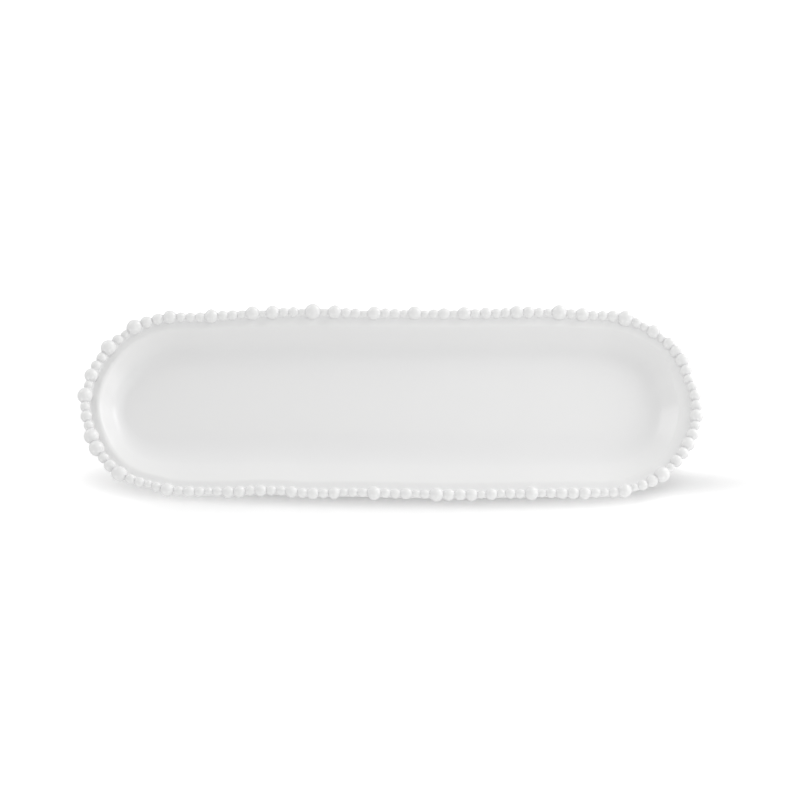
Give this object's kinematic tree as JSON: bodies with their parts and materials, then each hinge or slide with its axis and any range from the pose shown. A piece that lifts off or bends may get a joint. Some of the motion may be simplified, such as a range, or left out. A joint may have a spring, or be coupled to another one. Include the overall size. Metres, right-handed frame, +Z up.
{
  "type": "asparagus plate",
  "caption": "Long glazed serving plate with round ends, a shallow coved well, a narrow ledge and a rim of applied ball beads in mixed sizes, standing on a low foot ring.",
  "frame": {"origin": "on the table under the middle of the plate", "axes": "+X along the plate's length, +Y to its back, +Z up out of the well"},
  "size_m": [0.4005, 0.1378, 0.0261],
  "materials": {
    "white_glaze": "gloss",
    "foot_bisque": "matte"
  },
  "bodies": {
    "root": {"tray_body": "white_glaze", "foot_ring": "foot_bisque", "back_tiny_beads": "white_glaze", "back_small_beads": "white_glaze", "back_medium_beads": "white_glaze", "back_large_beads": "white_glaze", "back_extra_large_beads": "white_glaze", "right_end_tiny_beads": "white_glaze", "right_end_small_beads": "white_glaze", "right_end_medium_beads": "white_glaze", "right_end_large_beads": "white_glaze", "right_end_extra_large_beads": "white_glaze", "front_tiny_beads": "white_glaze", "front_small_beads": "white_glaze", "front_medium_beads": "white_glaze", "front_large_beads": "white_glaze", "front_extra_large_beads": "white_glaze", "left_end_tiny_beads": "white_glaze", "left_end_small_beads": "white_glaze", "left_end_medium_beads": "white_glaze", "left_end_large_beads": "white_glaze", "left_end_extra_large_beads": "white_glaze"}
  },
  "joints": []
}
